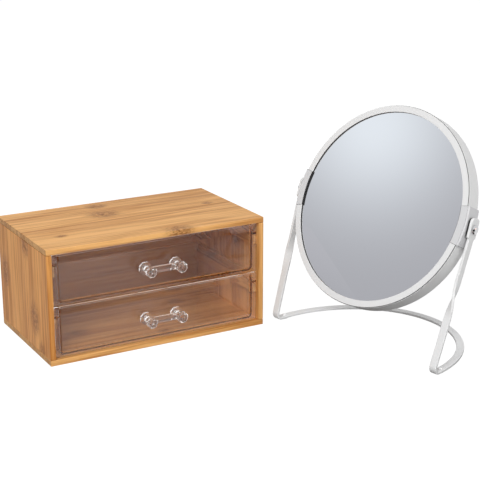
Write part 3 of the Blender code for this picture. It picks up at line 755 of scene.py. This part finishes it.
def makeBand():
    corners = [(bandInner, bandLow), (bandOuter, bandLow), (bandOuter, bandHigh), (bandInner, bandHigh)]
    mesh = turnedRing(corners, mirror["bandEdge"], "band", mirrorPlace)
    reach = bandOuter + overrun
    rod = cylinder(mirror["pivotHole"], (-reach, 0, 0), (reach, 0, 0))
    rod.transform(mirrorPlace)
    mesh = cutAway(mesh, [rod])
    band = addPiece("mirror_band_white", mesh, "mirror", "white_paint", whiteCoat, "mirror_frame_band",
                    sharpAngle=50)
    # painted shade: the band's end faces inside the groove are made black
    paintShadeInGroove(band, mirrorPlace, lambda spot: abs(spot.z) > bandHigh - mirror["paintedShadeEnd"])


def makeRing(node, place):
    spigotOuter = bandInner - easyGap
    spigotInner = spigotOuter - mirror["spigotThick"]
    rimLow = ringTop - mirror["rimThick"]
    grooveFloor = ringOuter - mirror["grooveDeep"]
    overBand = bandHigh + hairGap
    hidden, edge = mirror["hiddenEdge"], mirror["ringEdge"]
    outline = [((spigotInner, ringSeat), 0), ((spigotInner, spigotLow), hidden),
               ((spigotOuter, spigotLow), hidden), ((spigotOuter, overBand), 0),
               ((grooveFloor, overBand), 0), ((grooveFloor, rimLow), 0),
               ((ringOuter, rimLow), mirror["rimEdge"]), ((ringOuter, ringTop), edge),
               ((ringInner, ringTop), edge), ((ringInner, ringSeat), hidden)]
    corners, radii = zip(*outline)
    mesh = turnedRing(corners, radii, node, place)
    ring = addPiece(node + "_white", mesh, "mirror", "white_paint", ringCoatPaintedShade, node, sharpAngle=60)
    # painted shade: the ring's faces under its rim, inside the groove, are made black
    paintShadeInGroove(ring, place, lambda spot: spot.z < rimLow - hairGap and
               math.hypot(spot.x, spot.y) > spigotOuter - hairGap)


def makeGasket(node, place):
    corners = [(gasketInner, gasketLow), (glassRadius, gasketLow),
               (glassRadius, gasketHigh), (gasketInner, gasketHigh)]
    mesh = turnedRing(corners, mirror["gasketRound"], node, place, 3)
    addPiece(node + "_black", mesh, "mirror", "black_rubber", blackRubber, node, sharpAngle=60)


def addGlass(profile, node, place):
    mesh = finishMesh(turned(profile, mirror["segments"]), node, place)
    addPiece(node + "_silvered", mesh, "mirror", "mirror_glass", mirrorSilver, node, sharpAngle=25)


def makeFlatGlass(node, place):
    edge, halfWay = mirror["glassEdge"], glassRadius / 2
    rim = glassRadius - edge
    profile = [(0, glassLow), (halfWay, glassLow), (rim, glassLow), (glassRadius, glassLow + edge),
               (glassRadius, glassHigh - edge), (rim, glassHigh), (halfWay, glassHigh), (0, glassHigh)]
    addGlass(profile, node, place)


def makeDishedGlass(node, place):
    # the hollow side looks out, and the sag is read from the solid
    points = localPoints(node, place)
    nearAxis = [point.z for point in points if math.hypot(point.x, point.y) < glassRadius / 50]
    sag = max(point.z for point in points) - max(nearAxis)
    edge, steps = mirror["glassEdge"], mirror["dishSteps"]
    rim = glassRadius - edge

    def bowl(level):
        return [(rim * i / steps, level - sag * (1 - (i / steps) ** 2)) for i in range(steps + 1)]

    profile = bowl(glassLow) + [(glassRadius, glassLow + edge), (glassRadius, glassHigh - edge)]
    profile += list(reversed(bowl(glassHigh)))
    addGlass(profile, node, place)


rearPlace = mirrorPlace @ upsideDown
makeBand()
makeRing("front_ring", mirrorPlace)
makeRing("rear_ring", rearPlace)
makeGasket("front_gasket", mirrorPlace)
makeGasket("rear_gasket", rearPlace)
makeFlatGlass("front_mirror_glass", mirrorPlace)
makeDishedGlass("rear_magnifying_glass", rearPlace)
print("mirror done")


# Pivots

pivots = {
    "clipSteps": 32,
    "clipBend": 0.0012,
    "clipEdge": 0.00025,
    "clipUnderEdge": 0.0001,
    "clipUnderBend": 0.0002,
    "clipRoundSteps": 5,
    "lipClear": 0.0008,
    "lipShort": 0.0003,       # how far the liner's lip ends outside the solid's
    "liner": 0.0004,
    "linerSide": 0.6,         # its thickness over the rings, as a share
    "linerShows": 0.0025,     # radians by which the liner looks out at the clip's ends
    "screwSegments": 48,
    "domeSteps": 12,
    "screwShank": 0.0018,
    "screwTip": 0.25,         # chamfer of its end, as a share
    "headRim": 0.9,           # points beyond this share of the head's radius belong to the head
    "headSkirt": 0.0005,
    "headEdge": 0.0003,
    "spacerEdge": 0.0001,
}


def sweptArc(half, halfAngle):
    # half of a section, mirrored and swept about the mirror's axis
    outline = half + [(radius, -height) for radius, height in reversed(half)]
    steps = pivots["clipSteps"]
    rings = []
    for i in range(steps + 1):
        angle = halfAngle * (2 * i / steps - 1)
        rings.append([Vector((r * math.cos(angle), r * math.sin(angle), h)) for r, h in outline])
    return skin(rings)


def makeClip(side, place):
    # a strip bent over the band and both rings, on a black liner that turns in to the glass
    clipNode, linerNode = f"{side}_pivot_clip", f"{side}_clip_liner"
    points = localPoints(clipNode, place)
    outer = max(math.hypot(point.x, point.y) for point in points)
    top = max(point.z for point in points)
    halfAngle = max(abs(math.atan2(point.y, point.x)) for point in points)
    lip = min(math.hypot(point.x, point.y) for point in localPoints(linerNode, place)) + pivots["lipShort"]
    linerLow = ringTop + hairGap
    linerHigh = linerLow + pivots["liner"] * pivots["linerSide"]
    linerOuter = bandOuter + hairGap + pivots["liner"]
    clipInner = linerOuter + hairGap
    clipLow = linerHigh + hairGap
    hole = cylinder(mirror["pivotHole"], (bandInner, 0, 0), (outer + overrun, 0, 0))

    corners = [(clipInner, 0), (outer, 0), (outer, top), (ringInner, top),
               (ringInner, clipLow), (clipInner, clipLow)]
    radii = [0, 0, pivots["clipBend"], pivots["clipEdge"], pivots["clipUnderEdge"], pivots["clipUnderBend"]]
    half = [point for point in rounded(corners, radii, pivots["clipRoundSteps"]) if point[1] > 0]
    mesh = cutAway(finishMesh(sweptArc(half, halfAngle), "clip"), [hole])
    mesh.transform(place)
    addPiece(f"{side}_clip_white", mesh, "mirror", "white_paint", clipCoatPaintedShade, clipNode, sharpAngle=45)

    lipOuter = ringInner - hairGap
    lipEnd = glassHigh + pivots["lipClear"]
    half = [(linerOuter, linerHigh), (lip, linerHigh), (lip, lipEnd), (lipOuter, lipEnd),
            (lipOuter, linerLow), (bandOuter + hairGap, linerLow)]
    mesh = cutAway(finishMesh(sweptArc(half, halfAngle + pivots["linerShows"]), "liner"), [hole])
    mesh.transform(place)
    addPiece(f"{side}_liner_black", mesh, "mirror", "black_rubber", blackRubber, linerNode, sharpAngle=45)


def makeScrew(side, place):
    # the head's own axis is +Z here, then it is turned to lie along the pivots
    node = f"{side}_pivot_screw"
    along = place @ Matrix.Rotation(math.pi / 2, 4, "Y")
    _, headRadius, end, crown = roundSizes(node, along)
    headFrom = headRadius * pivots["headRim"]
    seat = min(point.z for point in localPoints(node, along) if math.hypot(point.x, point.y) > headFrom)
    shank, edge = pivots["screwShank"], pivots["headEdge"]
    tip = shank * pivots["screwTip"]
    profile = [(0, end), (shank - tip, end), (shank, end + tip), (shank, seat),
               (headRadius - edge, seat), (headRadius, seat + edge)]
    profile += dome(headRadius, seat + pivots["headSkirt"], crown, pivots["domeSteps"])[1:]
    mesh = finishMesh(turned(profile, pivots["screwSegments"]), "screw", along)
    addPiece(f"{side}_screw_chrome", mesh, "mirror", "chrome", chrome, node, sharpAngle=50)


for side, turn in (("right", Matrix.Identity(4)), ("left", halfTurn)):
    makeClip(side, mirrorPlace @ turn)
    makeScrew(side, mirrorPlace @ turn)
    node = f"{side}_pivot_spacer"
    spacer = addPiece(f"{side}_spacer_black", copiedMesh(node), "root", "black_rubber", blackRubber, node)
    easedEdges(spacer, pivots["spacerEdge"], 2)
    evenShading(spacer, sharpAngle=50)
print("pivots done")


# The bent strip of the stand

strip = {
    "width": 0.0070,
    "thickness": 0.0024,
    "edgeRound": 0.0006,
    "edgeSteps": 3,
    "tabWidth": 0.0110,
    "tabLength": 0.0190,
    "tabCorner": 0.0038,
    "tabShoulder": 0.0022,
    "tabSteps": 10,
    "shoulderSteps": 8,
    "twistTop": 0.0790,
    "twistBottom": 0.0450,
    "twistSteps": 40,
    "foldRadius": 0.0050,
    "foldSteps": 20,
    "footForward": 0.0420,
    "hoopLead": 0.0021,
    "hoopInside": 0.0003,    # its middle line runs this far inside the frame's outer radius
    "hoopSteps": 72,
    "plugLift": 0.0006,      # how high it stands over the table at the foot plugs
    "plugHole": 0.0014,
}


def smoothStep(value):
    share = min(max(value, 0), 1)
    return share * share * (3 - 2 * share)


def stripSection(middle, along, broad, width):
    thin = broad.cross(along).normalized()
    x, y = width / 2, strip["thickness"] / 2
    corners = [(x, y), (-x, y), (-x, -y), (x, -y)]
    radius = min(strip["edgeRound"], x * 0.9)
    return [middle + broad * x + thin * y for x, y in rounded(corners, radius, strip["edgeSteps"])]


def plugPoint(side):
    return standPlace.inverted() @ boxCentre(f"{side}_foot_plug")


def stripSections():
    points = localPoints("stand_band", standPlace)
    halfThick = strip["thickness"] / 2
    tabOuter = max(point.x for point in points)
    tabMiddle = tabOuter - halfThick
    hoopBack = max(point.y for point in points) - strip["width"] / 2
    pivotHeight = pivotPoint.z
    foldReach = strip["foldRadius"] * math.tan(math.pi / 4 + math.atan2(strip["footForward"], pivotHeight) / 2)
    hoopCentre = foldReach - strip["footForward"] - strip["hoopLead"]
    hoopDepth = hoopBack - hoopCentre
    halfWidth = bandOuter - strip["hoopInside"]
    slope = strip["plugLift"] / (hoopBack - plugPoint("right").y)   # the hoop rests at its back
    footHeight = halfThick + slope * (hoopBack + strip["footForward"])
    lean = math.atan2(strip["footForward"], pivotHeight - footHeight)
    start = math.asin(strip["hoopLead"] / hoopDepth)

    tabWay = Vector((0, -math.sin(lean), -math.cos(lean)))
    tabStart = Vector((tabMiddle, 0, pivotHeight)) - tabWay * (strip["tabLength"] / 2)
    tabEnd = tabStart + tabWay * strip["tabLength"]
    corner = Vector((halfWidth * math.cos(start), -strip["footForward"], footHeight))
    armWay = (corner - tabEnd).normalized()
    backWay = Vector((0, 1, -slope)).normalized()
    armEnd = corner - armWay * strip["foldRadius"] * math.tan(armWay.angle(backWay) / 2)

    across = Vector((1, 0, 0))
    fore = tabWay.cross(across).normalized()
    sections = []
    # the tab's round end, then the shoulder that narrows it
    for i in range(strip["tabSteps"] + 1):
        angle = math.pi / 2 * i / strip["tabSteps"]
        width = strip["tabWidth"] - 2 * strip["tabCorner"] * (1 - math.sin(angle))
        sections.append((tabStart + tabWay * strip["tabCorner"] * (1 - math.cos(angle)), tabWay, fore, width))
    for i in range(strip["shoulderSteps"] + 1):
        share = i / strip["shoulderSteps"]
        width = strip["tabWidth"] + (strip["width"] - strip["tabWidth"]) * smoothStep(share)
        distance = strip["tabLength"] - strip["tabShoulder"] * (1 - share)
        sections.append((tabStart + tabWay * distance, tabWay, fore, width))

    # the arm, with its quarter twist
    sideways = (across - armWay * armWay.x).normalized()
    forwards = armWay.cross(sideways)
    twistLow, twistHigh, steps = strip["twistBottom"], strip["twistTop"], strip["twistSteps"]
    heights = [twistHigh + (twistLow - twistHigh) * i / steps for i in range(steps + 1)]
    for height in heights + [armEnd.z]:
        turn = math.pi / 2 * smoothStep((height - twistLow) / (twistHigh - twistLow))
        middle = tabEnd + (armEnd - tabEnd) * (tabEnd.z - height) / (tabEnd.z - armEnd.z)
        broad = sideways * math.cos(turn) + forwards * math.sin(turn)
        sections.append((middle, armWay, broad, strip["width"]))

    # the fold at the foot
    bend = armWay.angle(backWay)
    axis = armWay.cross(backWay).normalized()
    centre = armEnd + axis.cross(armWay) * strip["foldRadius"]
    for i in range(1, strip["foldSteps"] + 1):
        part = Quaternion(axis, bend * i / strip["foldSteps"])
        way = part @ armWay
        broad = (across - way * way.x).normalized()
        sections.append((centre + part @ (armEnd - centre), way, broad, strip["width"]))

    # half of the hoop, round to the middle of its back
    for i in range(1, strip["hoopSteps"] + 1):
        angle = start + (math.pi / 2 - start) * i / strip["hoopSteps"]
        middle = Vector((halfWidth * math.cos(angle), hoopCentre + hoopDepth * math.sin(angle), 0))
        middle.z = halfThick + slope * (hoopBack - middle.y)
        outwards = Vector((hoopDepth * math.cos(angle), halfWidth * math.sin(angle), 0)).normalized()
        sections.append((middle, Vector((-outwards.y, outwards.x, 0)), outwards, strip["width"]))
    return sections, tabOuter


def makeStrip():
    # one side, mirrored
    sections, tabOuter = stripSections()
    bm = skin([stripSection(*section) for section in sections])
    lastCap = [face for face in bm.faces if all(abs(vertex.co.x) < sameSpot for vertex in face.verts)]
    bmesh.ops.delete(bm, geom=lastCap, context="FACES_ONLY")
    everything = bm.verts[:] + bm.edges[:] + bm.faces[:]
    bmesh.ops.mirror(bm, geom=everything, matrix=Matrix.Identity(4), merge_dist=pointsMerge, axis="X")
    mesh = finishMesh(bm, "strip")
    reach = tabOuter + overrun
    cutters = [cylinder(mirror["pivotHole"], (-reach, 0, pivotPoint.z), (reach, 0, pivotPoint.z))]
    for side in ("left", "right"):
        x, y, _ = plugPoint(side)
        cutters.append(cylinder(strip["plugHole"], (x, y, -overrun), (x, y, strip["thickness"] * 2 + overrun)))
    mesh = cutAway(mesh, cutters)
    mesh.transform(standPlace)
    addPiece("stand_strip_white", mesh, "root", "white_paint", whiteCoat, "stand_band", sharpAngle=60)


plug = {
    "padHigh": 0.00028,
    "headRadius": 0.0021,
    "headSteps": 8,
    "segments": 40,
}


def makePlug(side):
    node = f"{side}_foot_plug"
    x, y, _ = plugPoint(side)
    place = standPlace @ Matrix.Translation((x, y, 0))
    _, padRadius, low, top = roundSizes(node, place)
    padHigh = plug["padHigh"]
    headLow = strip["plugLift"] + strip["thickness"] + easyGap
    stem = strip["plugHole"] - easyGap
    profile = [(0, low), (padRadius, low), (padRadius, padHigh), (stem, padHigh), (stem, headLow)]
    profile += dome(plug["headRadius"], headLow, top, plug["headSteps"])
    mesh = finishMesh(turned(profile, plug["segments"]), "plug", place)
    addPiece(f"{side}_plug_white", mesh, "root", "white_rubber", whiteRubber, node, sharpAngle=50)


makeStrip()
makePlug("left")
makePlug("right")
keptShapes = {"backing_disc": greyBoard, "left_pivot_nut": zincSteel, "right_pivot_nut": zincSteel}
for node, material in keptShapes.items():
    for materialSlot in nodes[node].material_slots:
        materialSlot.material = material
print("stand done")


# Floor, light and camera

studio = {
    "ambient": 0.42,
    "floorReach": 20,
    "floorBelow": 0.0001,
    "floorBounce": 0.27,     # how much light the floor gives back
    "floorGlow": 0.93,       # what the floor itself shows to lenses and mirrors
    "floorCatch": 0.20,      # how strongly it takes light and shadow there
}

# each softbox: its place, what it points at, its size and its power
# the fill is low and in front, to reach into the drawers; the third lights the box's pieces alone
softboxes = {
    "keySoftbox": ((-0.95, -1.10, 1.20), (0.05, -0.05, 0.06), 0.9, 22.0),
    "fillSoftbox": ((0.10, -1.60, 0.25), (0.05, -0.05, 0.05), 0.8, 5.0),
    "drawerSoftbox": ((0.10, -1.60, 0.25), (0.0, -0.05, 0.05), 0.8, 0.45),
}


def lookRays(tree):
    # rays that show the studio itself, rather than carry its light
    rays = put(tree, "ShaderNodeLightPath").outputs
    seen = calc(tree, "MAXIMUM", rays["Is Camera Ray"], rays["Is Glossy Ray"])
    return calc(tree, "MAXIMUM", seen, rays["Is Transmission Ray"])


def makeFloor():
    bm = bmesh.new()
    bmesh.ops.create_grid(bm, x_segments=1, y_segments=1, size=studio["floorReach"])
    floor = addObject("studioFloor", finishMesh(bm, "studioFloor"))
    floor.location.z = min(cadBox[0][2], 0) - studio["floorBelow"]
    material = bpy.data.materials.new("studioFloor")
    tree = emptyTree(material)
    plain = put(tree, "ShaderNodeBsdfDiffuse", inputs={"Color": opaque([studio["floorBounce"]] * 3)})
    catch = put(tree, "ShaderNodeBsdfDiffuse", inputs={"Color": opaque([studio["floorCatch"]] * 3)})
    glow = put(tree, "ShaderNodeEmission", inputs={"Color": (1, 1, 1, 1), "Strength": studio["floorGlow"]})
    lit = put(tree, "ShaderNodeAddShader", inputs={0: catch.outputs[0], 1: glow.outputs[0]})
    put(tree, "ShaderNodeOutputMaterial", inputs={"Surface": mixShaders(tree, lookRays(tree), plain, lit)})
    floor.data.materials.append(material)


def makeWorld():
    world = bpy.data.worlds.new("studioWorld")
    bpy.context.scene.world = world
    tree = emptyTree(world)
    ambient = put(tree, "ShaderNodeBackground", inputs={"Color": (1, 1, 1, 1), "Strength": studio["ambient"]})
    white = put(tree, "ShaderNodeBackground", inputs={"Color": (1, 1, 1, 1), "Strength": 1.0})
    put(tree, "ShaderNodeOutputWorld", inputs={"Surface": mixShaders(tree, lookRays(tree), ambient, white)})


def softbox(name, place, target, size, power):
    light = bpy.data.lights.new(name, "AREA")
    light.shape = "SQUARE"
    light.size = size
    light.energy = power
    lamp = addObject(name, light)
    lamp.location = place
    lamp.rotation_euler = (Vector(target) - Vector(place)).to_track_quat("-Z", "Y").to_euler()
    lamp.visible_glossy = False
    lamp.visible_transmission = False
    return lamp


def mirrorOnlyCard(name, centre, facing, size, paint):
    # a studio card that only reflections see; without a way to face it lies level
    # paint makes its colour from its own x and y, in metres
    bm = bmesh.new()
    bmesh.ops.create_grid(bm, x_segments=1, y_segments=1, size=0.5, matrix=Matrix.Diagonal((*size, 1, 1)))
    card = addObject(name, finishMesh(bm, name))
    card.location = centre
    if facing is not None:
        card.rotation_euler = Vector(facing).to_track_quat("Z", "Y").to_euler()
    material = bpy.data.materials.new(name)
    tree = emptyTree(material)
    x, y, _ = apart(tree, objectSpace(tree))
    glow = put(tree, "ShaderNodeEmission", inputs={"Color": paint(tree, x, y), "Strength": 1.0})
    put(tree, "ShaderNodeOutputMaterial", inputs={"Surface": glow.outputs[0]})
    card.data.materials.append(material)
    card.visible_camera = False
    card.visible_diffuse = False
    card.visible_shadow = False
    card.visible_transmission = False
    return card


cards = {
    "glassBase": (0.433, 0.433, 0.463),   # the mirror shows a grey wall
    "glassGlow": (0.835, 0.875, 0.925),   # with one soft round glow
    "glowPlace": (0.043, 0.262),
    "glowSize": 0.192,
    "glassAway": 1.6,
    "glassSize": (2.4, 1.6),
    "frontLeft": (1.05, 0.86, 0.80),      # what the left of the drawers reflects
    "frontRight": (0.08, 0.065, 0.06),
    "frontLean": 0.20,
    "frontFade": (-0.02, 0.03),
    "frontPlace": (0.075, -0.235, 0.0),
    "frontSize": (0.37, 0.29),
    "flag": (0.02, 0.02, 0.02),           # what the pivot screw's dark rim reflects
    "flagWay": (-0.35, -0.88, -0.22),
    "flagAway": 0.22,
    "flagSize": (0.42, 0.20),
    "screenShares": (0.955, 1.17),        # of the grey wall, low and high; it hides the box from the mirror
    "screenFade": (0.02, 0.12),
    "screenFront": ((-0.19, 0), (-0.19, 0.034)),
    "screenBeside": 0.006,
    "screenOver": 0.003,
    "wall": (2.0, 1.5, 1.35),             # what the drawers' upper bevels reflect
    "wallPlace": (0.75, -2.0, 0.32),
    "wallFacing": (-0.35, 1, 0),
    "wallSize": (2.6, 0.46),
}


def glowPaint(tree, x, y):
    square = squareAway(tree, (x, y), cards["glowPlace"], [cards["glowSize"]] * 2)
    share = calc(tree, "EXPONENT", times(tree, square, -1.0))
    return mixColours(tree, share, opaque(cards["glassBase"]), opaque(cards["glassGlow"]))


def frontPaint(tree, x, y):
    # light at the left and dark at the right; the edge between them leans a little
    side = plus(tree, x, times(tree, y, cards["frontLean"]))
    share = fade(tree, side, *cards["frontFade"])
    return mixColours(tree, share, opaque(cards["frontLeft"]), opaque(cards["frontRight"]))


def screenPaint(tree, *_):
    # stands upright, so its height is read from the surface itself
    height = apart(tree, put(tree, "ShaderNodeNewGeometry").outputs["Position"])[2]
    dim, bright = ([value * share for value in cards["glassBase"]] for share in cards["screenShares"])
    return mixColours(tree, fade(tree, height, *cards["screenFade"]), opaque(dim), opaque(bright))


def plainPaint(colour):
    return lambda *_: opaque(colour)


view = {
    "place": (-0.4459, -0.9943, 0.4116),
    "looksAlong": (0.47073, 0.83314, -0.29033),
    "lens": 91.85,
}


def makeCamera():
    lens = bpy.data.cameras.new("photoCamera")
    lens.lens = view["lens"]
    lens.sensor_width = 36
    camera = addObject("photoCamera", lens)
    camera.location = view["place"]
    camera.rotation_euler = Vector(view["looksAlong"]).to_track_quat("-Z", "Y").to_euler()
    bpy.context.scene.camera = camera


makeFloor()
makeWorld()
lamps = {name: softbox(name, *setting) for name, setting in softboxes.items()}
boxPieces = bpy.data.collections.new("boxPieces")
boxWords = ("board", "panel", "runner", "tray", "handle")
for piece in bpy.context.scene.collection.all_objects:
    if piece.type == "MESH" and any(word in piece.name for word in boxWords):
        boxPieces.objects.link(piece)
lamps["drawerSoftbox"].light_linking.receiver_collection = boxPieces
lookWay = Vector(view["looksAlong"]).normalized()
bounceWay = lookWay - 2 * lookWay.dot(mirrorNormal) * mirrorNormal
glassCentre = pivotPoint + bounceWay * cards["glassAway"]
mirrorOnlyCard("glassCard", glassCentre, -bounceWay, cards["glassSize"], glowPaint)
mirrorOnlyCard("frontCard", cards["frontPlace"], None, cards["frontSize"], frontPaint)
flagWay = Vector(cards["flagWay"]).normalized()
flagCentre = boxCentre("right_pivot_screw") + flagWay * cards["flagAway"]
mirrorOnlyCard("screwFlag", flagCentre, -flagWay, cards["flagSize"], plainPaint(cards["flag"]))
screen = mirrorOnlyCard("boxScreen", (0, 0, 0), None, (1, 1), screenPaint)
screenTop = boxHigh.z + cards["screenOver"]
outline = [*cards["screenFront"], (boxLow.y, screenTop), (boxHigh.y, screenTop), (boxHigh.y, 0)]
bm = bmesh.new()
bm.faces.new([bm.verts.new((boxHigh.x + cards["screenBeside"], y, z)) for y, z in outline])
bm.to_mesh(screen.data)
bm.free()
wallPaint = plainPaint(cards["wall"])
mirrorOnlyCard("wallCard", cards["wallPlace"], cards["wallFacing"], cards["wallSize"], wallPaint)
makeCamera()
bpy.context.scene.view_settings.view_transform = "Standard"
paths = bpy.context.scene.cycles   # light runs far inside clear plastic before it comes out
paths.max_bounces = 24
paths.glossy_bounces = 16
paths.transmission_bounces = 24
paths.transparent_max_bounces = 32
print("studio done")
